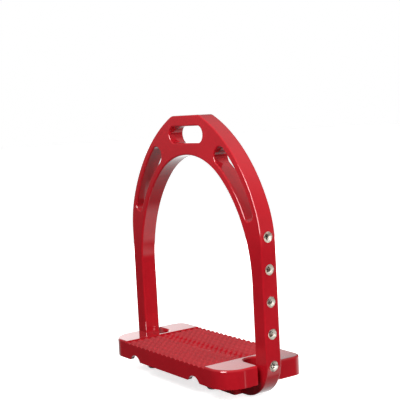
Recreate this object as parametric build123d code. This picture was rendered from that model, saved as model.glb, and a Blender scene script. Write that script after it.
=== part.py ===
from build123d import *
import math
import os

# Stirrup iron. Millimetres, +Z up. X runs from branch to branch, Y from front to back.
# The origin is the middle of the crossbar's underside, the face that the iron stands on.

# ---- Frame: branches, arch and crossbar, one casting ----
INSIDE_WIDTH = 120.0  # clear width between the two branches
FRAME_HEIGHT = 164.8  # crossbar underside to the top of the eye
BRANCH_THICKNESS = 10.4  # across a branch, side to side; the crossbar has the same height
FRAME_DEPTH = 10.7  # front face to back face
BEND_RADIUS = 21.75  # outside of the bend from a branch into the crossbar
CROWN_INSET = 10.1  # the crown's radius is this much under half the inside width
SHOULDER_RADIUS = 81.5  # inside arc that joins a branch to the crown
OUTER_ARCH_RADIUS = 98.4  # outside arc from a branch to the top flat
OUTER_ARCH_RISE = 66.4  # height of that arc
TOP_FLAT_WIDTH = 30.0  # flat on top, above the eye
SHOULDER_BLEND = 60.0  # rounding where the outside arc leaves the straight branch
TOP_BLEND = 8.0  # rounding where it meets the top flat
FRAME_EDGE_FILLET = 0.9

# ---- Eye that the stirrup leather passes through ----
EYE_WIDTH = 36.0
EYE_HEIGHT = 10.3
EYE_TOP_BAR = 6.7  # metal above the eye
EYE_WEB = 7.4  # metal between the eye and the crown

# ---- Shoulder slots that lighten the frame ----
SLOT_OUTER_LIMB = 4.5  # metal outside a slot
SLOT_INNER_LIMB = 4.8  # metal inside a slot
SLOT_LOW_ANGLE = 18.3  # lower and upper ends, as angles about the outside arc's centre
SLOT_HIGH_ANGLE = 50.7
SLOT_LOW_ROUND = 2.9
SLOT_HIGH_ROUND = 5.2

# ---- Tread: one casting with a stud field, two flat ends and a skirt ----
TREAD_END_INSET = 5.45  # from a branch's outer face back to the tread's end
TREAD_FRONT_REACH = 30.8  # from the frame's mid-plane to the front edge
TREAD_BACK_REACH = 26.9  # and to the back edge
TREAD_FRONT_CORNER = 14.7
TREAD_BACK_CORNER = 7.2
SEAT_RISE = 10.6  # from the crossbar's top, where the tread sits, to the tread's flat ends
SKIRT_DROP = 0.55  # how far the skirt hangs below that seat
SKIRT_WALL = 2.5
PLATE_THICKNESS = 4.5
TREAD_EDGE_FILLET = 1.2
NOTCH_CLEARANCE = 1.7  # between a branch's front or back face and the notch's wall
NOTCH_ROOM = 2.4  # from the inner bend's start to the bottom of the notch
NOTCH_MOUTH_ROUND = 1.5
FIELD_INSET = 2.05  # from the bottom of the notch to the stud field
STUD_COLUMNS = 18
STUD_ROWS = 12
STUD_HEIGHT = 1.6
CROSS_RIB_WIDTH = 3.0
ARCH_RADIUS = 6.2  # arched relief in the skirt's lower edge
ARCH_HEIGHT = 3.6
ARCH_CORNER = 1.4

# ---- Carriers: the wider stretches of the crossbar, with the lugs that hold the tread ----
CARRIER_OVERHANG = 4.85  # how far a carrier stands out past the frame's front and back faces
CARRIER_END_ROOM = 1.35  # from the notch's bottom back to the carrier's end
CARRIER_LENGTH = 24.9
CARRIER_CORNER = 1.5
LUG_THICKNESS = 5.1
LUG_RADIUS = 5.0

# ---- Screws that hold the tread to the lugs: M4 button heads ----
SCREW_END_INSET = 11.8  # from the carrier's end back to the screw
SCREW_OUTREACH = 7.0  # from the carrier's side out to the screw
SCREW_RADIUS = 2.0
SCREW_LENGTH = 10.0  # under the head
SCREW_HEAD_RADIUS = 3.8
SCREW_HEAD_HEIGHT = 2.2
SCREW_HEAD_ROUND = 1.65
SCREW_TIP_CHAMFER = 0.4
SCREW_SOCKET_FLATS = 2.5
SCREW_SOCKET_DEPTH = 1.3
LUG_HOLE_CLEARANCE = 0.25  # round the screw, in the lug
THREAD_CLEARANCE = 0.05  # round the screw, in the boss
SCREW_END_ROOM = 0.6  # past the screw's tip, in the boss
BOSS_RADIUS = 4.6

# ---- Crystals let into the outer faces of the branches ----
CRYSTALS_PER_BRANCH = 5
CRYSTAL_SEAT_ROOM = 9.8  # from the tread's seat up to the lowest crystal
CRYSTAL_ARCH_ROOM = 4.2  # from the start of the outside arc down to the highest one
CRYSTAL_RADIUS = 3.1  # at the girdle
CRYSTAL_TABLE_RADIUS = 1.75
CRYSTAL_CROWN = 1.15
CRYSTAL_GIRDLE = 0.25
CRYSTAL_PAVILION = 2.5
CRYSTAL_CULET_RADIUS = 0.3
CRYSTAL_FACETS = 8
STAR_INSET = 0.42  # from the girdle in to the small facets between the main ones
STAR_DROP = 0.62  # from the table down to the same point
STAR_SLOPE_LESS = 16.0  # degrees by which they are flatter than the main facets
CRYSTAL_SINK = 0.35  # the girdle's upper edge below the branch's face
SEAT_CLEARANCE = 0.05  # round the girdle
ADHESIVE_THICKNESS = 0.25  # under the crystal
SEAT_TIP_RADIUS = 0.45  # flat bottom of the countersink

# ---- Worked out from the sizes above ----
INSIDE_HALF = INSIDE_WIDTH / 2
OUTSIDE_HALF = INSIDE_HALF + BRANCH_THICKNESS
FRAME_HALF_DEPTH = FRAME_DEPTH / 2
CROWN_RADIUS = INSIDE_HALF - CROWN_INSET
ARCH_START = FRAME_HEIGHT - OUTER_ARCH_RISE
EYE_BOTTOM = FRAME_HEIGHT - EYE_TOP_BAR - EYE_HEIGHT
CROWN_TOP = EYE_BOTTOM - EYE_WEB
SEAT_HEIGHT = BRANCH_THICKNESS
TREAD_TOP = SEAT_HEIGHT + SEAT_RISE
SKIRT_BOTTOM = SEAT_HEIGHT - SKIRT_DROP
PLATE_BOTTOM = TREAD_TOP - PLATE_THICKNESS
LUG_BOTTOM = SEAT_HEIGHT - LUG_THICKNESS
TREAD_HALF_LENGTH = OUTSIDE_HALF - TREAD_END_INSET
TREAD_WIDTH = TREAD_FRONT_REACH + TREAD_BACK_REACH
TREAD_MIDDLE = (TREAD_BACK_REACH - TREAD_FRONT_REACH) / 2
INNER_BEND = BEND_RADIUS - BRANCH_THICKNESS
NOTCH_RADIUS = FRAME_HALF_DEPTH + NOTCH_CLEARANCE
NOTCH_BOTTOM = INSIDE_HALF - INNER_BEND - NOTCH_ROOM
FIELD_LENGTH = 2 * (NOTCH_BOTTOM - FIELD_INSET)
CARRIER_REACH = FRAME_HALF_DEPTH + CARRIER_OVERHANG
CARRIER_END = NOTCH_BOTTOM - CARRIER_END_ROOM
SCREW_X = CARRIER_END - SCREW_END_INSET
SCREW_Y = CARRIER_REACH + SCREW_OUTREACH
SCREW_PLACES = [(side * SCREW_X, face * SCREW_Y) for side in (-1, 1) for face in (-1, 1)]
LOW = (Align.CENTER, Align.CENTER, Align.MIN)  # a primitive that stands on its placing point
HIGH = (Align.CENTER, Align.CENTER, Align.MAX)  # a primitive that hangs from it
MUCH = 400.0  # longer than the whole object, for cutting tools
NEAR = 0.01  # close enough to count as the same place


def upright_face(outline):
    """Turns a face drawn as X and Z in the flat plane upright, facing the front."""
    return Plane.XZ * outline


def extrude_through(face, depth):
    """A solid of the given depth, centred on the frame's mid-plane."""
    return extrude(face, amount=depth / 2, both=True)


def outer_arch_centre():
    """Centre of the outside arc, from its two ends and its radius."""
    low = Vector(OUTSIDE_HALF, ARCH_START)
    high = Vector(TOP_FLAT_WIDTH / 2, FRAME_HEIGHT)
    chord = high - low
    middle = (low + high) / 2
    reach = math.sqrt(OUTER_ARCH_RADIUS**2 - (chord.length / 2) ** 2)
    inward = Vector(-chord.Y, chord.X).normalized()
    return middle + inward * reach


def outside_half_face():
    """Right half of the frame's outside, from the mid-plane out."""
    centre = outer_arch_centre()
    low = (OUTSIDE_HALF, ARCH_START)
    high = (TOP_FLAT_WIDTH / 2, FRAME_HEIGHT)
    between = Vector(*low) + Vector(*high) - centre * 2
    crest = centre + between.normalized() * OUTER_ARCH_RADIUS
    bend_start = (OUTSIDE_HALF - BEND_RADIUS, 0)
    short = BEND_RADIUS * (1 - math.sqrt(0.5))
    bend_middle = (OUTSIDE_HALF - short, short)
    bend_end = (OUTSIDE_HALF, BEND_RADIUS)
    edges = [
        Line((0, 0), bend_start),
        ThreePointArc(bend_start, bend_middle, bend_end),
        Line(bend_end, low),
        ThreePointArc(low, crest, high),
        Line(high, (0, FRAME_HEIGHT)),
        Line((0, FRAME_HEIGHT), (0, 0)),
    ]
    face = make_face(edges)
    shoulder = face.vertices().sort_by_distance((*low, 0))[0]
    face = fillet(shoulder, SHOULDER_BLEND)
    corner = face.vertices().sort_by_distance((*high, 0))[0]
    return fillet(corner, TOP_BLEND)


def inside_half_face():
    """Right half of the space inside the frame, above the crossbar."""
    crown_z = CROWN_TOP - CROWN_RADIUS
    spread = INSIDE_HALF - CROWN_RADIUS
    drop = math.sqrt(spread * (2 * SHOULDER_RADIUS - CROWN_RADIUS - INSIDE_HALF))
    shoulder_centre = Vector(INSIDE_HALF - SHOULDER_RADIUS, crown_z - drop)
    crown_centre = Vector(0, crown_z)
    join_direction = (crown_centre - shoulder_centre).normalized()
    join = crown_centre + join_direction * CROWN_RADIUS
    shoulder_start = Vector(INSIDE_HALF, shoulder_centre.Y)
    shoulder_middle = shoulder_centre + (
        (shoulder_start + join) / 2 - shoulder_centre
    ).normalized() * SHOULDER_RADIUS
    crown_end = Vector(0, CROWN_TOP)
    crown_middle = crown_centre + (
        (join + crown_end) / 2 - crown_centre
    ).normalized() * CROWN_RADIUS
    bend_start = Vector(INSIDE_HALF - INNER_BEND, SEAT_HEIGHT)
    bend_end = Vector(INSIDE_HALF, SEAT_HEIGHT + INNER_BEND)
    short = INNER_BEND * (1 - math.sqrt(0.5))
    bend_middle = Vector(INSIDE_HALF - short, SEAT_HEIGHT + short)
    edges = [
        Line((0, SEAT_HEIGHT), bend_start),
        ThreePointArc(bend_start, bend_middle, bend_end),
        Line(bend_end, shoulder_start),
        ThreePointArc(shoulder_start, shoulder_middle, join),
        ThreePointArc(join, crown_middle, crown_end),
        Line(crown_end, (0, SEAT_HEIGHT)),
    ]
    return make_face(edges)


def whole_face(half):
    """Both halves of a face that is drawn to the right of the mid-plane."""
    return (half + mirror(half, Plane.YZ)).clean()


def polar(centre, angle, distance):
    """A point at an angle in degrees and a distance from a centre."""
    turn = math.radians(angle)
    return centre + Vector(math.cos(turn), math.sin(turn)) * distance


def slot_face():
    """Right shoulder slot, between the two limbs and the two end angles."""
    centre = outer_arch_centre()
    reach = 2 * OUTER_ARCH_RADIUS
    wedge = make_face(
        Polyline(
            centre,
            polar(centre, SLOT_LOW_ANGLE, reach),
            polar(centre, SLOT_HIGH_ANGLE, reach),
            close=True,
        )
    )
    rim = Pos(centre.X, centre.Y) * Circle(OUTER_ARCH_RADIUS - SLOT_OUTER_LIMB)
    inner = offset(whole_face(inside_half_face()), SLOT_INNER_LIMB)
    face = (wedge & rim) - inner
    face = face.faces().sort_by(Axis.X)[-1]
    ends = face.vertices().sort_by(Axis.Y)
    low_width = (Vector(ends[0]) - Vector(ends[1])).length
    high_width = (Vector(ends[-1]) - Vector(ends[-2])).length
    face = fillet(ends[:2], min(SLOT_LOW_ROUND, 0.47 * low_width))
    ends = face.vertices().sort_by(Axis.Y)
    return fillet(ends[-2:], min(SLOT_HIGH_ROUND, 0.47 * high_width))


def carrier(side):
    """Wider stretch of the crossbar on one side, with a lug at the front and at the back."""
    middle = side * (CARRIER_END - CARRIER_LENGTH / 2)
    block = Pos(middle, 0, 0) * Box(CARRIER_LENGTH, 2 * CARRIER_REACH, SEAT_HEIGHT, align=LOW)
    block = fillet(block.edges().filter_by(Axis.Z), CARRIER_CORNER)
    lugs = Pos(side * SCREW_X, 0) * SlotCenterToCenter(2 * SCREW_Y, 2 * LUG_RADIUS, rotation=90)
    return block + Pos(0, 0, LUG_BOTTOM) * extrude(lugs, LUG_THICKNESS)


def crystal_heights():
    """Heights of the crystals' centres above the crossbar's underside."""
    lowest = SEAT_HEIGHT + CRYSTAL_SEAT_ROOM
    pitch = (ARCH_START - CRYSTAL_ARCH_ROOM - lowest) / (CRYSTALS_PER_BRANCH - 1)
    return [lowest + i * pitch for i in range(CRYSTALS_PER_BRANCH)]


def crystal_place(side, height):
    """Location on a branch's outer face, with its Z axis pointing out of the face."""
    return Location(
        Plane(origin=(side * OUTSIDE_HALF, 0, height), x_dir=(0, side, 0), z_dir=(side, 0, 0))
    )


def crystal_seat():
    """Countersunk pocket for one crystal, drawn below a face at z = 0."""
    radius = CRYSTAL_RADIUS + SEAT_CLEARANCE
    shelf = CRYSTAL_SINK + CRYSTAL_GIRDLE
    over = 1.0  # how far the cutting tool stands out of the face
    wall = Pos(0, 0, over) * Cylinder(radius, shelf + over, align=HIGH)
    depth = CRYSTAL_PAVILION + ADHESIVE_THICKNESS
    cone = Rot(180, 0, 0) * Cone(radius, SEAT_TIP_RADIUS, depth, align=LOW)
    return wall + Pos(0, 0, -shelf) * cone


def crystal():
    """One faceted crystal, with its girdle's upper edge CRYSTAL_SINK below z = 0."""
    top = CRYSTAL_CROWN - CRYSTAL_SINK
    girdle_low = -CRYSTAL_SINK - CRYSTAL_GIRDLE
    upper = Cylinder(CRYSTAL_RADIUS, CRYSTAL_GIRDLE + CRYSTAL_CROWN, align=LOW)
    lower = Cone(CRYSTAL_RADIUS, CRYSTAL_CULET_RADIUS, CRYSTAL_PAVILION, align=LOW)
    stone = Pos(0, 0, girdle_low) * (upper + Rot(180, 0, 0) * lower)
    slope = math.degrees(math.atan2(CRYSTAL_CROWN, CRYSTAL_RADIUS - CRYSTAL_TABLE_RADIUS))
    step = 360 / CRYSTAL_FACETS
    size = 6 * CRYSTAL_RADIUS
    cutter = Box(size, size, size, align=LOW)
    for i in range(CRYSTAL_FACETS):
        main = Rot(0, 0, i * step) * Pos(CRYSTAL_RADIUS, 0, -CRYSTAL_SINK)
        stone -= main * Rot(0, slope, 0) * cutter
        star = Rot(0, 0, (i + 0.5) * step) * Pos(CRYSTAL_RADIUS - STAR_INSET, 0, top - STAR_DROP)
        stone -= star * Rot(0, slope - STAR_SLOPE_LESS, 0) * cutter
    return stone


def crystal_bed(stone):
    """The adhesive that fills a seat behind the girdle of its crystal."""
    reach = 2 * CRYSTAL_RADIUS
    behind = Pos(0, 0, -CRYSTAL_SINK - CRYSTAL_GIRDLE) * Box(2 * reach, 2 * reach, reach, align=HIGH)
    return (crystal_seat() - stone) & behind


def stirrup_frame():
    """The casting with its eye, slots, carriers, lug holes and crystal seats."""
    outside = whole_face(outside_half_face())
    inside = whole_face(inside_half_face())
    eye = Pos(0, EYE_BOTTOM + EYE_HEIGHT / 2) * SlotOverall(EYE_WIDTH, EYE_HEIGHT)
    slot = slot_face()
    outline = outside - inside - eye - slot - mirror(slot, Plane.YZ)
    frame = extrude_through(upright_face(outline), FRAME_DEPTH)
    faces = frame.faces().filter_by(Axis.Y)
    frame = fillet(faces.edges(), FRAME_EDGE_FILLET)
    for side in (-1, 1):
        frame += carrier(side)
    hole = Cylinder(SCREW_RADIUS + LUG_HOLE_CLEARANCE, MUCH)
    frame -= [Pos(x, y, 0) * hole for x, y in SCREW_PLACES]
    seat = crystal_seat()
    for side in (-1, 1):
        frame -= [crystal_place(side, height) * seat for height in crystal_heights()]
    return frame


def tread_outline(inset):
    """The tread seen from above, with both notches, drawn smaller all round by inset."""
    sheet = Pos(0, TREAD_MIDDLE) * Rectangle(2 * TREAD_HALF_LENGTH, TREAD_WIDTH)
    corners = sheet.vertices().sort_by(Axis.Y)
    sheet = fillet(corners[:2], TREAD_FRONT_CORNER)
    corners = sheet.vertices().sort_by(Axis.Y)
    sheet = fillet(corners[-2:], TREAD_BACK_CORNER)
    centre_x = NOTCH_BOTTOM + NOTCH_RADIUS
    for side in (-1, 1):
        notch = Pos(side * centre_x, 0) * Circle(NOTCH_RADIUS)
        mouth = Pos(side * (centre_x + MUCH / 2), 0) * Rectangle(MUCH, 2 * NOTCH_RADIUS)
        sheet -= notch + mouth
    mouths = sheet.vertices().filter_by(
        lambda v: abs(abs(v.X) - TREAD_HALF_LENGTH) < NEAR and abs(abs(v.Y) - NOTCH_RADIUS) < NEAR
    )
    sheet = fillet(mouths, NOTCH_MOUTH_ROUND)
    return offset(sheet, -inset) if inset else sheet


def groove(pitch, length):
    """V-shaped cutting tool between two rows of studs, along Y, with its bottom at z = 0."""
    over = 1.5  # how much taller than the studs the tool is
    half = pitch / 2 * over
    top = STUD_HEIGHT * over
    section = make_face(Polyline((-half, top), (half, top), (0, 0), close=True))
    return extrude(Plane.XZ * section, amount=length / 2, both=True)


def stud_grooves():
    """All the grooves that leave the stud field's pyramids standing."""
    base = TREAD_TOP - STUD_HEIGHT
    pitch_x = FIELD_LENGTH / STUD_COLUMNS
    pitch_y = TREAD_WIDTH / STUD_ROWS
    field = Pos(0, 0, base) * Box(FIELD_LENGTH, MUCH, 2 * STUD_HEIGHT, align=LOW)
    across = groove(pitch_x, 2 * TREAD_WIDTH)
    along = Rot(0, 0, 90) * groove(pitch_y, 2 * FIELD_LENGTH)
    tools = []
    for i in range(STUD_COLUMNS + 1):
        tool = Pos(-FIELD_LENGTH / 2 + i * pitch_x, 0, base) * across
        tools.append(tool if 0 < i < STUD_COLUMNS else tool & field)
    for i in range(STUD_ROWS):
        tools.append((Pos(0, -TREAD_FRONT_REACH + (i + 0.5) * pitch_y, base) * along) & field)
    return tools


def skirt_arch():
    """Cutting tool for the arched reliefs beside one pair of screws, front and back."""
    centre_z = SKIRT_BOTTOM + ARCH_HEIGHT - ARCH_RADIUS
    below = Pos(0, SKIRT_BOTTOM - ARCH_RADIUS) * Rectangle(4 * ARCH_RADIUS, 2 * ARCH_RADIUS)
    section = below + Pos(0, centre_z) * Circle(ARCH_RADIUS)
    corners = section.vertices().filter_by(lambda v: abs(v.Y - SKIRT_BOTTOM) < NEAR)
    corners = corners.filter_by(lambda v: abs(v.X) < 1.5 * ARCH_RADIUS)
    section = fillet(corners, ARCH_CORNER)
    return extrude_through(upright_face(section), 3 * TREAD_WIDTH)


def tread_ribs():
    """What stands inside the skirt: the seat rib, the cross ribs and the screw bosses."""
    height = PLATE_BOTTOM - SEAT_HEIGHT
    ribs = Box(2 * NOTCH_BOTTOM, FRAME_DEPTH, height, align=LOW)
    for side in (-1, 1):
        cross = Box(CROSS_RIB_WIDTH, TREAD_WIDTH - 2 * SKIRT_WALL, height, align=LOW)
        ribs += Pos(side * SCREW_X, TREAD_MIDDLE) * cross
    for x, y in SCREW_PLACES:
        ribs += Pos(x, y) * Cylinder(BOSS_RADIUS, height, align=LOW)
    return Pos(0, 0, SEAT_HEIGHT) * ribs


def tread_plate():
    """The tread: plate, skirt, ribs, bosses, notches, stud field and skirt reliefs."""
    tread = Pos(0, 0, SKIRT_BOTTOM) * extrude(tread_outline(0), TREAD_TOP - SKIRT_BOTTOM)
    tread = fillet(tread.edges().group_by(Axis.Z)[-1], TREAD_EDGE_FILLET)
    hollow = extrude(tread_outline(SKIRT_WALL), PLATE_BOTTOM - SKIRT_BOTTOM)
    tread -= Pos(0, 0, SKIRT_BOTTOM) * hollow - tread_ribs()
    crossbar_room = Box(
        2 * (NOTCH_BOTTOM + SKIRT_WALL), 2 * (CARRIER_REACH + SKIRT_WALL), SKIRT_DROP, align=LOW
    )
    tread -= Pos(0, 0, SKIRT_BOTTOM) * crossbar_room
    screw_room = LUG_BOTTOM + SCREW_LENGTH + SCREW_END_ROOM
    hole = Cylinder(SCREW_RADIUS + THREAD_CLEARANCE, screw_room, align=LOW)
    tread -= [Pos(x, y, 0) * hole for x, y in SCREW_PLACES]
    arch = skirt_arch()
    tread -= [Pos(side * SCREW_X, 0, 0) * arch for side in (-1, 1)]
    return tread - stud_grooves()


def tread_screw():
    """One button-head screw, head down, with the underside of its head at z = 0."""
    shank = Cylinder(SCREW_RADIUS, SCREW_LENGTH, align=LOW)
    shank = chamfer(shank.edges().group_by(Axis.Z)[-1], SCREW_TIP_CHAMFER)
    head = Cylinder(SCREW_HEAD_RADIUS, SCREW_HEAD_HEIGHT, align=HIGH)
    head = fillet(head.edges().group_by(Axis.Z)[0], SCREW_HEAD_ROUND)
    hexagon = RegularPolygon(SCREW_SOCKET_FLATS / 2, 6, major_radius=False)
    socket = Pos(0, 0, -SCREW_HEAD_HEIGHT) * extrude(hexagon, SCREW_SOCKET_DEPTH)
    return shank + head - socket


def save(shape, node):
    """Writes one node and reports its solids and volume."""
    export_step(shape, f"parts/{node}.step")
    print(node, len(shape.solids()), "solids", round(shape.volume, 1), "mm3")


def build_all():
    os.makedirs("parts", exist_ok=True)
    save(stirrup_frame(), "stirrup_frame")
    save(tread_plate(), "tread_plate")
    screw = tread_screw()
    screws = [Pos(x, y, LUG_BOTTOM) * screw for x, y in SCREW_PLACES]
    save(Compound(children=screws), "tread_screws")
    stone = crystal()
    bed = crystal_bed(stone)
    for side, name in ((-1, "left"), (1, "right")):
        for number, height in enumerate(crystal_heights(), start=1):
            place = crystal_place(side, height)
            save(place * stone, f"crystal_{name}_{number}")
            save(place * bed, f"crystal_adhesive_{name}_{number}")


build_all()
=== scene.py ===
import math

import bmesh
import bpy
from bpy.props import FloatProperty, FloatVectorProperty, PointerProperty
from mathutils import Matrix, Vector


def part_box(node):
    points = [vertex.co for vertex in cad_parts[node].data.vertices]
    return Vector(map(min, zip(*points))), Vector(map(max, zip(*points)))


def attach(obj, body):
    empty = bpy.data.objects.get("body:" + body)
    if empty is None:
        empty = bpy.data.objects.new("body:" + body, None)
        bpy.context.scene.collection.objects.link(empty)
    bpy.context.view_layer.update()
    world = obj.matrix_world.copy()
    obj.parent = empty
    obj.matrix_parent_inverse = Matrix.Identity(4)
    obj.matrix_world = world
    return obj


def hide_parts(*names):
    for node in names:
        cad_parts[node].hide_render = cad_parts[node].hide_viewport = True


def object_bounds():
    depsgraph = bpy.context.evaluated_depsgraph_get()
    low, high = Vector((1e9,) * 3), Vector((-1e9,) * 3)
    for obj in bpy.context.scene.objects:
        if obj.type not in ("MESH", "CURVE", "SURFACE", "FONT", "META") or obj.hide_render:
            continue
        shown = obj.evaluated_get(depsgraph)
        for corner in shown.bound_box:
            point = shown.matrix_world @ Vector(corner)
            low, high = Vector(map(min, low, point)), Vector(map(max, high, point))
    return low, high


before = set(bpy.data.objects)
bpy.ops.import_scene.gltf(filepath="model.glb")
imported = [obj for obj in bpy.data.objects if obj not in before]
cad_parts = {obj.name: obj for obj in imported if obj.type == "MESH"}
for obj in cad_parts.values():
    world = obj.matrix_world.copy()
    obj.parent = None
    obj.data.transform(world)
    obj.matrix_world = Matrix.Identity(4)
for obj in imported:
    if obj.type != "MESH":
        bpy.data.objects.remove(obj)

bl_info = {
    "name": "Stirrup iron",
    "version": (1, 0, 0),
    "blender": (4, 5, 0),
    "location": "3D View > Sidebar > Stirrup iron",
    "description": "Builds a lacquered stirrup iron with a studded tread and crystals",
    "category": "Object",
}

MM = 0.001
CAD_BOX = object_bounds()
SIDES = ("left", "right")
OUTWARD = {"left": -1.0, "right": 1.0}
CRYSTALS_PER_BRANCH = sum(name.startswith("crystal_left_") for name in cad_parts)
GEM_SEGMENTS = 32
GEM_GIRDLE_SHARE = 0.25 / 3.9  # girdle and pavilion as shares of a crystal's whole depth
GEM_PAVILION_SHARE = 2.5 / 3.9
GEM_TURN = 0.7  # radians by which each crystal is turned from the one above it
GEM_UNDERSIDE = -0.1  # faces that look down more than this are foiled
MAIN_FACET_STEP = 45  # degrees between the main facets
LIGHT_FACET_EVERY = 3  # one centre facet in this many keeps its silver foil; the others carry the painted dark reflection
GIRDLE_FACET_LEAN = math.radians(6)  # the girdle facets are this much steeper than the main ones
STUD_CORNER = math.radians(28)  # edges sharper than this are rounded
SHARP_CORNER = math.radians(24)  # edges sharper than this still show as a line
STAR_FACET_SHARE = 0.6  # slope of the star facets as a share of the main ones
CUT_MERGE = 1e-7
CAST_MERGE = 1e-6
FLAT_ANGLE = math.radians(0.2)  # triangles that meet flatter than this are one face
FLAT_WEIGHT = 80  # how strongly large faces set the shading
DUST_CELLS = 900.0  # per metre
DUST_PATCHES = 260.0  # per metre
FLOOR_HALF_WIDTH = 6.0
FLOOR_GREY = (0.15, 0.15, 0.15, 1)  # what the object sees of the floor
FLOOR_GLOW = 0.74  # added for the eye only
SENSOR_WIDTH = 36.0
# Name, place, point it faces, size and power of each soft light.
SOFT_LIGHTS = (
    ("front_softbox", (0.10, -0.24, 0.32), (0, 0, 0.17), (0.2, 0.2), 1.3),
    ("side_softbox", (0.64, 0.10, 0.24), (0, 0, 0.10), (0.4, 0.4), 3.4),
    ("back_softbox", (-0.5, 0.36, 0.22), (0, 0, 0.09), (0.4, 0.4), 3.0),
)
# Azimuths, in degrees, of the edges of what the lacquer reflects.
BACKDROP_EDGE = (134, 151)
NEAR_PANEL = (28, 32)
LOW_PANEL = (30, 48)
STRIP_LIGHT = (-80, -58)
BACKDROP_AIM = (-0.55, 0.83, 0.0)
FRONT_AIM = (0.35, -0.94, 0.0)
CEILING_GLOW = 0.2
PANEL_GLOW = 0.5
HAZE_GLOW = 0.1
DARK_ROOM_GLOW = 0.02
CRYSTAL_ROOM = 2.2  # brightness of the room as seen through the crystals


# ---- Sizes and colours ----


class LacquerSettings(bpy.types.PropertyGroup):
    """Colour and gloss of the lacquer on both castings."""

    colour: FloatVectorProperty(
        name="Lacquer", description="Main colour of the lacquer", subtype="COLOR",
        size=3, min=0, max=1, default=(0.46, 0.008, 0.016),
    )
    deep_colour: FloatVectorProperty(
        name="Deep lacquer", description="Colour where the lacquer lies thicker", subtype="COLOR",
        size=3, min=0, max=1, default=(0.40, 0.006, 0.013),
    )
    roughness: FloatProperty(
        name="Roughness", description="Roughness of the clean lacquer", default=0.1, min=0, max=1,
    )
    peel_size: FloatProperty(
        name="Orange peel", description="Width of the ripples in the dried lacquer",
        default=2.2 * MM, unit="LENGTH",
    )
    stud_round: FloatProperty(
        name="Stud rounding", description="How far the lacquer rounds the tread's edges",
        default=0.11 * MM, precision=5, unit="LENGTH",
    )
    peel_depth: FloatProperty(
        name="Peel depth", description="Height of those ripples", default=0.004 * MM,
        precision=6, unit="LENGTH",
    )


class CrystalSettings(bpy.types.PropertyGroup):
    """Cut of the crystals."""

    table_share: FloatProperty(
        name="Table", description="Width of the table as a share of the girdle",
        default=0.54, subtype="FACTOR", min=0.3, max=0.8,
    )
    # Depth of the dark coat painted on the centre facets, a painted dark reflection in place of what they
    # would mirror.
    painted_dark_share: FloatProperty(
        name="Dark centre", description="Depth of the dark facets as a share of the pavilion",
        default=0.38, subtype="FACTOR", min=0.0, max=1.0,
    )
    tint: FloatVectorProperty(
        name="Tint", description="Colour of the clear crystal", subtype="COLOR",
        size=3, min=0, max=1, default=(1.0, 0.99, 0.97),
    )


class StageSettings(bpy.types.PropertyGroup):
    """Floor, camera and lights."""

    eye: FloatVectorProperty(
        name="Camera", description="Where the camera stands", subtype="TRANSLATION",
        size=3, default=(0.48397, -0.32873, 0.16406), precision=5,
    )
    azimuth: FloatProperty(
        name="Azimuth", description="Turn of the view about the vertical",
        default=math.radians(55.55), subtype="ANGLE",
    )
    elevation: FloatProperty(
        name="Elevation", description="How far the view looks down",
        default=math.radians(5.083), subtype="ANGLE",
    )
    roll: FloatProperty(
        name="Roll", description="Tilt of the camera about its own axis",
        default=math.radians(-3.04), subtype="ANGLE",
    )
    lens: FloatProperty(
        name="Lens", description="Focal length on a 36 mm sensor", default=85.196, min=10,
    )
    fill: FloatProperty(
        name="Fill", description="Strength of the even light from all round", default=0.42, min=0,
    )
    backdrop: FloatProperty(
        name="Backdrop", description="Brightness of the backdrop in reflections", default=1.28, min=0,
    )
    strip: FloatProperty(
        name="Strip light", description="Brightness of the strip light in reflections", default=11.0, min=0,
    )


# ---- Node helpers ----


def new_group(name, inputs, outputs):
    """An empty shader node group with its sockets, and its input and output nodes."""
    group = bpy.data.node_groups.new(name, "ShaderNodeTree")
    kinds = {"value": "NodeSocketFloat", "colour": "NodeSocketColor", "vector": "NodeSocketVector"}
    for label, kind, default in inputs:
        socket = group.interface.new_socket(label, in_out="INPUT", socket_type=kinds[kind])
        socket.default_value = default
    for label, kind in outputs:
        group.interface.new_socket(label, in_out="OUTPUT", socket_type=kinds[kind])
    return group, group.nodes.new("NodeGroupInput"), group.nodes.new("NodeGroupOutput")


def add(tree, kind, **settings):
    """A node with its settings."""
    node = tree.nodes.new(kind)
    for key, value in settings.items():
        setattr(node, key, value)
    return node


def math_node(tree, operation, first, second=0.0, clamp=False):
    """A Math node fed by sockets or numbers."""
    node = add(tree, "ShaderNodeMath", operation=operation, use_clamp=clamp)
    for socket, value in zip(node.inputs, (first, second)):
        if isinstance(value, bpy.types.NodeSocket):
            tree.links.new(value, socket)
        else:
            socket.default_value = value
    return node.outputs[0]


def mix_colour(tree, factor, first, second):
    """A colour mix fed by sockets or colours."""
    node = add(tree, "ShaderNodeMix", data_type="RGBA")
    for socket, value in zip((node.inputs[0], node.inputs[6], node.inputs[7]), (factor, first, second)):
        if isinstance(value, bpy.types.NodeSocket):
            tree.links.new(value, socket)
        else:
            socket.default_value = value
    return node.outputs[2]


def noise(tree, scale, detail=2.0, roughness=0.5, vector=None):
    """Noise on object coordinates; scale is a socket or a number."""
    node = add(tree, "ShaderNodeTexNoise")
    if vector is None:
        vector = add(tree, "ShaderNodeTexCoord").outputs["Object"]
    tree.links.new(vector, node.inputs["Vector"])
    if isinstance(scale, bpy.types.NodeSocket):
        tree.links.new(scale, node.inputs["Scale"])
    else:
        node.inputs["Scale"].default_value = scale
    node.inputs["Detail"].default_value = detail
    node.inputs["Roughness"].default_value = roughness
    return node.outputs[0]


def ramp(tree, value, low, high, out_low=0.0, out_high=1.0):
    """Maps a value from one range to another, clamped."""
    node = add(tree, "ShaderNodeMapRange", clamp=True)
    tree.links.new(value, node.inputs["Value"])
    for socket, number in zip(node.inputs[1:5], (low, high, out_low, out_high)):
        if isinstance(number, bpy.types.NodeSocket):
            tree.links.new(number, socket)
        else:
            socket.default_value = number
    return node.outputs[0]


# ---- Shared effects ----


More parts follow.
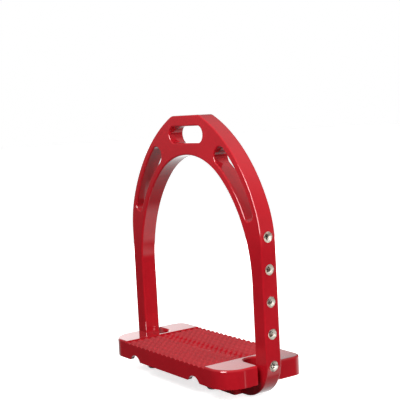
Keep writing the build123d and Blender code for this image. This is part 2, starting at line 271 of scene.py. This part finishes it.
def clouding_group():
    """Slow changes of tone, as where a coat lies thicker or thinner."""
    group, source, sink = new_group(
        "Clouding",
        [("Colour", "colour", (1, 1, 1, 1)), ("Deep Colour", "colour", (0.5, 0.5, 0.5, 1)),
         ("Size", "value", 0.02), ("Fine Size", "value", 0.002)],
        [("Colour", "colour")],
    )
    slow = noise(group, math_node(group, "DIVIDE", 1.0, source.outputs["Size"]), 3.0)
    fine = noise(group, math_node(group, "DIVIDE", 1.0, source.outputs["Fine Size"]), 2.0)
    both = math_node(
        group, "ADD", math_node(group, "MULTIPLY", slow, 0.7), math_node(group, "MULTIPLY", fine, 0.3)
    )
    mask = ramp(group, both, 0.36, 0.64)
    group.links.new(
        mix_colour(group, mask, source.outputs["Colour"], source.outputs["Deep Colour"]),
        sink.inputs["Colour"],
    )
    return group


def handling_group():
    """Fine dust and rubbed patches that dull a glossy surface a little."""
    group, source, sink = new_group(
        "Handling",
        [("Roughness", "value", 0.1), ("Patch Size", "value", 0.015), ("Patch Gain", "value", 0.06),
         ("Dust Gain", "value", 0.25)],
        [("Roughness", "value"), ("Dust", "value")],
    )
    patches = noise(group, math_node(group, "DIVIDE", 1.0, source.outputs["Patch Size"]), 5.0, 0.6)
    patch = ramp(group, patches, 0.45, 0.75)
    cells = add(group, "ShaderNodeTexVoronoi")
    group.links.new(add(group, "ShaderNodeTexCoord").outputs["Object"], cells.inputs["Vector"])
    cells.inputs["Scale"].default_value = DUST_CELLS
    speck = ramp(group, cells.outputs["Distance"], 0.05, 0.12, 1.0, 0.0)
    rare = ramp(group, noise(group, DUST_PATCHES, 1.0), 0.58, 0.66)
    dust = math_node(group, "MULTIPLY", speck, rare)
    rubbed = math_node(group, "MULTIPLY", patch, source.outputs["Patch Gain"])
    dusty = math_node(group, "MULTIPLY", dust, source.outputs["Dust Gain"])
    rough = math_node(group, "ADD", source.outputs["Roughness"], rubbed)
    rough = math_node(group, "ADD", rough, dusty, clamp=True)
    group.links.new(rough, sink.inputs["Roughness"])
    group.links.new(dust, sink.inputs["Dust"])
    return group


def peel_group():
    """Ripples of a dried coat over the slow waves of the casting beneath."""
    group, source, sink = new_group(
        "Peel",
        [("Size", "value", 0.002), ("Depth", "value", 0.000004), ("Wave Size", "value", 0.018),
         ("Wave Depth", "value", 0.00002)],
        [("Normal", "vector")],
    )
    ripple = noise(group, math_node(group, "DIVIDE", 1.0, source.outputs["Size"]), 1.0)
    wave = noise(group, math_node(group, "DIVIDE", 1.0, source.outputs["Wave Size"]), 1.0)
    height = math_node(
        group, "ADD",
        math_node(group, "MULTIPLY", ripple, source.outputs["Depth"]),
        math_node(group, "MULTIPLY", wave, source.outputs["Wave Depth"]),
    )
    bump = add(group, "ShaderNodeBump")
    bump.inputs["Distance"].default_value = 1.0
    group.links.new(height, bump.inputs["Height"])
    group.links.new(bump.outputs["Normal"], sink.inputs["Normal"])
    return group


def shared(name):
    """One of the shared groups, built the first time that it is asked for."""
    makers = {"Clouding": clouding_group, "Handling": handling_group, "Peel": peel_group}
    return bpy.data.node_groups.get(name) or makers[name]()


def use_group(tree, name, **values):
    """Places a shared group in a material, with this material's own values."""
    node = add(tree, "ShaderNodeGroup")
    node.node_tree = shared(name)
    for key, value in values.items():
        node.inputs[key.replace("_", " ")].default_value = value
    return node


# ---- Materials ----


def new_material(name, **sockets):
    """A material with a Principled shader and its constant values."""
    material = bpy.data.materials.new(name)
    material.use_nodes = True
    shader = material.node_tree.nodes["Principled BSDF"]
    for key, value in sockets.items():
        shader.inputs[key.replace("_", " ")].default_value = value
    return material, material.node_tree, shader


def lacquer(name, wave_depth):
    """Gloss red lacquer on a casting."""
    settings = bpy.context.scene.stirrup_lacquer
    material, tree, shader = new_material(
        name, IOR=1.6, Coat_Weight=1.0, Coat_Roughness=0.03, Coat_IOR=1.6
    )
    tone = use_group(
        tree, "Clouding", Colour=(*settings.colour, 1), Deep_Colour=(*settings.deep_colour, 1),
        Size=0.03, Fine_Size=0.0025,
    )
    handling = use_group(tree, "Handling", Roughness=settings.roughness)
    peel = use_group(
        tree, "Peel", Size=settings.peel_size, Depth=settings.peel_depth, Wave_Depth=wave_depth
    )
    tree.links.new(tone.outputs["Colour"], shader.inputs["Base Color"])
    tree.links.new(handling.outputs["Roughness"], shader.inputs["Roughness"])
    tree.links.new(peel.outputs["Normal"], shader.inputs["Normal"])
    return material


def steel():
    """Plain stainless steel, turned and lightly handled."""
    material, tree, shader = new_material("Stainless steel", Metallic=1.0)
    tone = use_group(
        tree, "Clouding", Colour=(0.62, 0.62, 0.63, 1), Deep_Colour=(0.5, 0.5, 0.52, 1),
        Size=0.004, Fine_Size=0.0006,
    )
    handling = use_group(tree, "Handling", Roughness=0.24, Patch_Size=0.003, Patch_Gain=0.15)
    peel = use_group(tree, "Peel", Size=0.0004, Depth=0.000002, Wave_Depth=0.0)
    tree.links.new(tone.outputs["Colour"], shader.inputs["Base Color"])
    tree.links.new(handling.outputs["Roughness"], shader.inputs["Roughness"])
    tree.links.new(peel.outputs["Normal"], shader.inputs["Normal"])
    return material


def crystal_glass():
    """Clear cut crystal."""
    settings = bpy.context.scene.stirrup_crystals
    material, tree, shader = new_material(
        "Cut crystal", Transmission_Weight=1.0, IOR=1.6, Base_Color=(*settings.tint, 1)
    )
    handling = use_group(
        tree, "Handling", Roughness=0.0, Patch_Size=0.002, Patch_Gain=0.02, Dust_Gain=0.1
    )
    tree.links.new(handling.outputs["Roughness"], shader.inputs["Roughness"])
    return material


def foil(name, colour, deep_colour, roughness):
    """Foil on the back of a crystal, or a dark coat in its place that paints the dark reflections of the
    centre facets.
    """
    material, tree, shader = new_material(name, Metallic=1.0)
    tone = use_group(
        tree, "Clouding", Colour=(*colour, 1), Deep_Colour=(*deep_colour, 1),
        Size=0.002, Fine_Size=0.0004,
    )
    handling = use_group(tree, "Handling", Roughness=roughness, Patch_Size=0.001, Patch_Gain=0.05)
    tree.links.new(tone.outputs["Colour"], shader.inputs["Base Color"])
    tree.links.new(handling.outputs["Roughness"], shader.inputs["Roughness"])
    return material


def epoxy():
    """Clear adhesive, slightly yellowed."""
    material, tree, shader = new_material("Epoxy", IOR=1.5, Coat_Weight=0.3)
    tone = use_group(
        tree, "Clouding", Colour=(0.80, 0.79, 0.74, 1), Deep_Colour=(0.72, 0.69, 0.58, 1),
        Size=0.003, Fine_Size=0.0006,
    )
    handling = use_group(tree, "Handling", Roughness=0.2, Patch_Size=0.002, Patch_Gain=0.1)
    tree.links.new(tone.outputs["Colour"], shader.inputs["Base Color"])
    tree.links.new(handling.outputs["Roughness"], shader.inputs["Roughness"])
    return material


def material_of(name):
    """A finish by its name, built the first time that it is asked for."""
    makers = {
        "Frame lacquer": lambda: lacquer("Frame lacquer", 0.000022),
        "Tread lacquer": lambda: lacquer("Tread lacquer", 0.000012),
        "Stainless steel": steel,
        "Cut crystal": crystal_glass,
        "Silver foil": lambda: foil("Silver foil", (0.98, 0.95, 0.89), (0.90, 0.86, 0.79), 0.55),
        # Dark coat on the centre facets: a painted dark reflection, standing in for the dark room those
        # facets would show.
        "Painted dark reflection": lambda: foil("Painted dark reflection", (0.24, 0.19, 0.15), (0.14, 0.11, 0.09), 0.2),
        "Epoxy": epoxy,
    }
    return bpy.data.materials.get(name) or makers[name]()


def finish_node(name, *materials):
    """Gives a CAD node its finish in place of the one it came with."""
    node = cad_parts[name]
    node.data.materials.clear()
    for material in materials:
        node.data.materials.append(material_of(material))


# ---- Mesh helpers ----


def merged_copy(node):
    """A closed copy of a CAD node's mesh, with its flat triangles joined into faces."""
    build = bmesh.new()
    build.from_mesh(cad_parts[node].data)
    bmesh.ops.remove_doubles(build, verts=build.verts, dist=CAST_MERGE)
    bmesh.ops.dissolve_limit(build, angle_limit=FLAT_ANGLE, verts=build.verts, edges=build.edges)
    return build


def smooth_build(build):
    """Shades a mesh smooth, but keeps its sharpest corners."""
    for face in build.faces:
        face.smooth = True
    for edge in build.edges:
        edge.smooth = edge.calc_face_angle(0) < SHARP_CORNER


def flatten_shading(piece):
    """Lets the large flat faces of a smooth piece look flat."""
    weigh = piece.modifiers.new("Flat faces", "WEIGHTED_NORMAL")
    weigh.keep_sharp = True
    weigh.weight = FLAT_WEIGHT


def new_piece(name, build, slot, replaced, *materials):
    """Turns a bmesh into a finished piece that stands for a CAD node."""
    mesh = bpy.data.meshes.new(name)
    build.to_mesh(mesh)
    build.free()
    for material in materials:
        mesh.materials.append(material_of(material))
    piece = bpy.data.objects.new(name, mesh)
    bpy.context.scene.collection.objects.link(piece)
    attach(piece, "root")
    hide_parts(replaced)
    return piece


# ---- Operators ----


class STIRRUP_OT_frame(bpy.types.Operator):
    """Finishes the frame casting"""

    bl_idname = "stirrup.frame"
    bl_label = "Frame"

    def execute(self, context):
        finish_node("stirrup_frame", "Frame lacquer")
        return {"FINISHED"}


class STIRRUP_OT_tread(bpy.types.Operator):
    """Builds the tread casting with the lacquer drawn round its studs and edges"""

    bl_idname = "stirrup.tread"
    bl_label = "Tread"

    def execute(self, context):
        settings = context.scene.stirrup_lacquer
        build = merged_copy("tread_plate")
        corners = [
            edge for edge in build.edges if edge.is_convex and edge.calc_face_angle(0) > STUD_CORNER
        ]
        bmesh.ops.bevel(
            build, geom=corners, offset=settings.stud_round, offset_type="OFFSET", affect="EDGES",
            segments=2, profile=0.5, material=-1, clamp_overlap=True,
        )
        smooth_build(build)
        flatten_shading(new_piece("tread_casting", build, "tread_lacquer", "tread_plate", "Tread lacquer"))
        return {"FINISHED"}


class STIRRUP_OT_screws(bpy.types.Operator):
    """Finishes the screws"""

    bl_idname = "stirrup.screws"
    bl_label = "Screws"

    def execute(self, context):
        finish_node("tread_screws", "Stainless steel")
        return {"FINISHED"}


def cut_facets(build, count, turn, slope, reach, height):
    """Cuts a ring of flat facets; slope is the tilt from level, negative under the girdle."""
    for i in range(count):
        angle = (i + turn) * math.tau / count
        outward = Vector((math.cos(angle), math.sin(angle), 0))
        facing = outward * math.sin(abs(slope)) + Vector((0, 0, math.copysign(math.cos(slope), slope)))
        cut = bmesh.ops.bisect_plane(
            build, geom=build.verts[:] + build.edges[:] + build.faces[:], dist=CUT_MERGE,
            plane_co=outward * reach + Vector((0, 0, height)), plane_no=facing, clear_outer=True,
        )
        rim = [part for part in cut["geom_cut"] if isinstance(part, bmesh.types.BMEdge)]
        if rim:
            bmesh.ops.edgeloop_fill(build, edges=rim)


def brilliant(radius, crown, girdle, pavilion):
    """A brilliant cut from a round blank: its pavilion is foiled, with a painted dark reflection on most
    facets at the centre.
    """
    settings = bpy.context.scene.stirrup_crystals
    table = radius * settings.table_share
    crown_slope = math.atan2(crown, radius - table)
    back_slope = math.atan2(pavilion, radius)
    build = bmesh.new()
    bmesh.ops.create_cone(
        build, cap_ends=True, segments=GEM_SEGMENTS, radius1=radius, radius2=radius,
        depth=crown + girdle + pavilion,
        matrix=Matrix.Translation((0, 0, (crown - girdle - pavilion) / 2)),
    )
    cut_facets(build, 8, 0.0, crown_slope, radius, 0.0)
    cut_facets(build, 16, 0.5, crown_slope + GIRDLE_FACET_LEAN, radius, 0.0)
    cut_facets(build, 8, 0.5, crown_slope * STAR_FACET_SHARE, table, crown)
    cut_facets(build, 8, 0.5, -back_slope, 0.0, -girdle - pavilion)
    cut_facets(build, 16, 0.0, -back_slope - GIRDLE_FACET_LEAN, radius, -girdle)
    bmesh.ops.remove_doubles(build, verts=build.verts, dist=CUT_MERGE)
    bmesh.ops.recalc_face_normals(build, faces=build.faces)
    # Below this level most pavilion facets get a dark coat: painted dark reflections, not a real foil
    # colour.
    painted_dark_level = -girdle - pavilion * (1 - settings.painted_dark_share)
    bmesh.ops.bisect_plane(
        build, geom=build.verts[:] + build.edges[:] + build.faces[:], dist=CUT_MERGE,
        plane_co=(0, 0, painted_dark_level), plane_no=(0, 0, 1),
    )
    for face in build.faces:
        bearing = math.degrees(math.atan2(face.normal.y, face.normal.x))
        facet = round(bearing / MAIN_FACET_STEP + 4.5)
        # Pick the centre facets that carry the painted dark reflection.
        dark = face.calc_center_median().z < painted_dark_level and facet % LIGHT_FACET_EVERY
        face.material_index = 2 if dark else int(face.normal.z < GEM_UNDERSIDE)
    return build


class STIRRUP_OT_crystals(bpy.types.Operator):
    """Cuts the crystals and sets them in both branches"""

    bl_idname = "stirrup.crystals"
    bl_label = "Crystals"

    def execute(self, context):
        for side in SIDES:
            outward = Vector((OUTWARD[side], 0, 0))
            for number in range(1, CRYSTALS_PER_BRANCH + 1):
                node = f"crystal_{side}_{number}"
                low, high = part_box(node)
                radius = (high.z - low.z) / 2
                depth = high.x - low.x
                girdle = depth * GEM_GIRDLE_SHARE
                pavilion = depth * GEM_PAVILION_SHARE
                crown = depth - girdle - pavilion
                face_x = (high.x if side == "right" else low.x) - outward.x * crown
                place = Matrix.Translation((face_x, (low.y + high.y) / 2, (low.z + high.z) / 2))
                turn = outward.to_track_quat("Z", "Y").to_matrix().to_4x4()
                spin = Matrix.Rotation(number * GEM_TURN, 4, "Z")
                build = brilliant(radius, crown, girdle, pavilion)
                bmesh.ops.transform(build, matrix=place @ turn @ spin, verts=build.verts)
                # The third finish paints the dark reflections of the centre facets.
                new_piece(
                    f"cut_{node}", build, "crystal", node, "Cut crystal", "Silver foil", "Painted dark reflection"
                )
        return {"FINISHED"}


class STIRRUP_OT_adhesive(bpy.types.Operator):
    """Finishes the adhesive beds under the crystals"""

    bl_idname = "stirrup.adhesive"
    bl_label = "Adhesive"

    def execute(self, context):
        for side in SIDES:
            for number in range(1, CRYSTALS_PER_BRANCH + 1):
                finish_node(f"crystal_adhesive_{side}_{number}", "Epoxy")
        return {"FINISHED"}


def soft_light(name, place, aim, size, power):
    """A rectangular soft light that faces a point."""
    data = bpy.data.lights.new(name, "AREA")
    data.shape = "RECTANGLE"
    data.size, data.size_y = size
    data.energy = power
    light = bpy.data.objects.new(name, data)
    light.location = place
    light.rotation_euler = (Vector(aim) - Vector(place)).to_track_quat("-Z", "Y").to_euler()
    light.visible_glossy = False
    bpy.context.scene.collection.objects.link(light)


def pick_shader(tree, factor, first, second):
    """Mixes two shaders by a factor."""
    node = add(tree, "ShaderNodeMixShader")
    for socket, value in zip(node.inputs, (factor, first, second)):
        tree.links.new(value, socket)
    return node.outputs[0]


def room_light(tree, strength):
    """An even background of the given strength, a socket or a number."""
    node = add(tree, "ShaderNodeBackground")
    node.inputs["Color"].default_value = (1, 1, 1, 1)
    if isinstance(strength, bpy.types.NodeSocket):
        tree.links.new(strength, node.inputs["Strength"])
    else:
        node.inputs["Strength"].default_value = strength
    return node.outputs[0]


def toward(tree, place, aim):
    """How nearly a direction points the way of another: one along it, minus one away from it."""
    node = add(tree, "ShaderNodeVectorMath", operation="DOT_PRODUCT")
    tree.links.new(place, node.inputs[0])
    node.inputs[1].default_value = aim
    return node.outputs["Value"]


def azimuth_band(tree, turn, edges, softness):
    """One between two azimuths, in degrees, and zero outside them."""
    low, high = (math.radians(edge) for edge in edges)
    return band(tree, turn, low, high, math.radians(softness))


def band(tree, value, low, high, edge):
    """One between two limits and zero outside them, with soft edges."""
    rise = ramp(tree, value, low - edge, low)
    fall = ramp(tree, value, high, high + edge, 1.0, 0.0)
    return math_node(tree, "MULTIPLY", rise, fall)


def studio_world():
    """White to the eye and even in its light, with reflections of a dark room and lit panels."""
    settings = bpy.context.scene.stirrup_stage
    world = bpy.data.worlds.new("Studio")
    bpy.context.scene.world = world
    world.use_nodes = True
    tree = world.node_tree
    tree.nodes.clear()
    place = add(tree, "ShaderNodeTexCoord").outputs["Generated"]
    parts = add(tree, "ShaderNodeSeparateXYZ")
    tree.links.new(place, parts.inputs[0])
    east, north, height = parts.outputs
    turn = math_node(tree, "ARCTAN2", north, east)
    # The backdrop as it shows in faces that look up: a bright left half behind the object.
    upper = ramp(tree, turn, *(math.radians(edge) for edge in BACKDROP_EDGE))
    upper = math_node(tree, "MULTIPLY", upper, ramp(tree, height, 0.3, 0.5, 1.0, 0.0))
    # The same backdrop and the table before it, as they show in faces that look down.
    facing = toward(tree, place, BACKDROP_AIM)
    lower = math_node(tree, "POWER", ramp(tree, facing, 0.02, 0.95), 1.7)
    lower = math_node(tree, "MULTIPLY", lower, ramp(tree, height, -0.6, -0.1, 0.85, 1.0))
    rising = ramp(tree, height, -0.02, 0.1)
    share = add(tree, "ShaderNodeMix", data_type="FLOAT")
    for socket, value in zip(share.inputs[0:1] + share.inputs[2:4], (rising, lower, upper)):
        tree.links.new(value, socket)
    glow = math_node(tree, "MULTIPLY", share.outputs[0], settings.backdrop)
    # A dim ceiling, two panels at the right, a tall strip light at the front and a little haze.
    ceiling = math_node(tree, "MULTIPLY", ramp(tree, height, 0.5, 0.8), CEILING_GLOW)
    near = azimuth_band(tree, turn, NEAR_PANEL, 2)
    near = math_node(tree, "MULTIPLY", near, band(tree, height, -0.95, -0.27, 0.05))
    low = azimuth_band(tree, turn, LOW_PANEL, 9)
    low = math_node(tree, "MULTIPLY", low, band(tree, height, -0.95, -0.45, 0.08))
    side = math_node(tree, "MULTIPLY", math_node(tree, "MAXIMUM", near, low), PANEL_GLOW)
    strip = azimuth_band(tree, turn, STRIP_LIGHT, 3)
    strip = math_node(tree, "MULTIPLY", strip, band(tree, height, 0.03, 0.64, 0.04))
    strip = math_node(tree, "MULTIPLY", strip, settings.strip)
    haze = math_node(tree, "MULTIPLY", ramp(tree, height, -0.15, 0.0), HAZE_GLOW)
    for panel in (ceiling, side, strip, haze):
        glow = math_node(tree, "ADD", glow, panel)
    glow = math_node(tree, "ADD", glow, DARK_ROOM_GLOW)
    # Even light, stronger from the front.
    lift = math_node(tree, "MULTIPLY", ramp(tree, height, -0.2, 0.9, 1.0, 0.6), settings.fill)
    frontal = ramp(tree, toward(tree, place, FRONT_AIM), -1.0, 1.0, 0.6, 1.4)
    lift = math_node(tree, "MULTIPLY", lift, frontal)
    paths = add(tree, "ShaderNodeLightPath").outputs
    shader = room_light(tree, lift)
    shader = pick_shader(tree, paths["Is Transmission Ray"], shader, room_light(tree, CRYSTAL_ROOM))
    shader = pick_shader(tree, paths["Is Glossy Ray"], shader, room_light(tree, glow))
    shader = pick_shader(tree, paths["Is Camera Ray"], shader, room_light(tree, 1.0))
    tree.links.new(shader, add(tree, "ShaderNodeOutputWorld").inputs["Surface"])


def floor_finish():
    """A white sweep: bright to the eye, and dull where it would throw light back up."""
    material, tree, shader = new_material("Pale floor", Roughness=0.7, Specular_IOR_Level=0.1)
    tone = use_group(
        tree, "Clouding", Colour=(0.93, 0.93, 0.93, 1), Deep_Colour=(0.9, 0.9, 0.9, 1),
        Size=0.4, Fine_Size=0.02,
    )
    seen = add(tree, "ShaderNodeLightPath").outputs["Is Camera Ray"]
    base = mix_colour(tree, seen, FLOOR_GREY, tone.outputs["Colour"])
    tree.links.new(base, shader.inputs["Base Color"])
    shader.inputs["Emission Color"].default_value = (1, 1, 1, 1)
    tree.links.new(math_node(tree, "MULTIPLY", seen, FLOOR_GLOW), shader.inputs["Emission Strength"])
    return material


class STIRRUP_OT_stage(bpy.types.Operator):
    """Lays the floor and sets the lights and the camera"""

    bl_idname = "stirrup.stage"
    bl_label = "Stage"

    def execute(self, context):
        settings = context.scene.stirrup_stage
        floor_level = CAD_BOX[0].z
        floor_build = bmesh.new()
        bmesh.ops.create_grid(floor_build, x_segments=1, y_segments=1, size=FLOOR_HALF_WIDTH)
        bmesh.ops.translate(floor_build, verts=floor_build.verts, vec=(0, 0, floor_level))
        mesh = bpy.data.meshes.new("floor")
        floor_build.to_mesh(mesh)
        floor_build.free()
        mesh.materials.append(floor_finish())
        floor = bpy.data.objects.new("floor", mesh)
        context.scene.collection.objects.link(floor)
        floor.visible_glossy = False
        for soft in SOFT_LIGHTS:
            soft_light(*soft)
        studio_world()
        data = bpy.data.cameras.new("camera")
        data.lens = settings.lens
        data.sensor_width = SENSOR_WIDTH
        data.clip_start = 0.01
        camera = bpy.data.objects.new("camera", data)
        turn = Matrix.Rotation(settings.azimuth, 4, "Z")
        dip = Matrix.Rotation(math.pi / 2 - settings.elevation, 4, "X")
        roll = Matrix.Rotation(settings.roll, 4, "Z")
        camera.matrix_world = Matrix.Translation(settings.eye) @ turn @ dip @ roll
        context.scene.collection.objects.link(camera)
        context.scene.camera = camera
        context.scene.view_settings.view_transform = "Standard"
        return {"FINISHED"}


class STIRRUP_PT_panel(bpy.types.Panel):
    """Lists the pieces of the stirrup iron"""

    bl_idname = "STIRRUP_PT_panel"
    bl_label = "Stirrup iron"
    bl_space_type = "VIEW_3D"
    bl_region_type = "UI"
    bl_category = "Stirrup iron"

    def draw(self, context):
        for piece in PIECES:
            self.layout.operator(piece.bl_idname)
        for group in ("stirrup_lacquer", "stirrup_crystals", "stirrup_stage"):
            settings = getattr(context.scene, group)
            for key in settings.__annotations__:
                self.layout.prop(settings, key)


PIECES = (
    STIRRUP_OT_frame,
    STIRRUP_OT_tread,
    STIRRUP_OT_screws,
    STIRRUP_OT_crystals,
    STIRRUP_OT_adhesive,
    STIRRUP_OT_stage,
)
CLASSES = (LacquerSettings, CrystalSettings, StageSettings, *PIECES, STIRRUP_PT_panel)


def register():
    for item in CLASSES:
        bpy.utils.register_class(item)
    bpy.types.Scene.stirrup_lacquer = PointerProperty(type=LacquerSettings)
    bpy.types.Scene.stirrup_crystals = PointerProperty(type=CrystalSettings)
    bpy.types.Scene.stirrup_stage = PointerProperty(type=StageSettings)


def unregister():
    del bpy.types.Scene.stirrup_stage
    del bpy.types.Scene.stirrup_crystals
    del bpy.types.Scene.stirrup_lacquer
    for item in reversed(CLASSES):
        bpy.utils.unregister_class(item)


def main():
    register()
    for name in ("frame", "tread", "screws", "crystals", "adhesive", "stage"):
        getattr(bpy.ops.stirrup, name)()


if __name__ == "__main__":
    main()
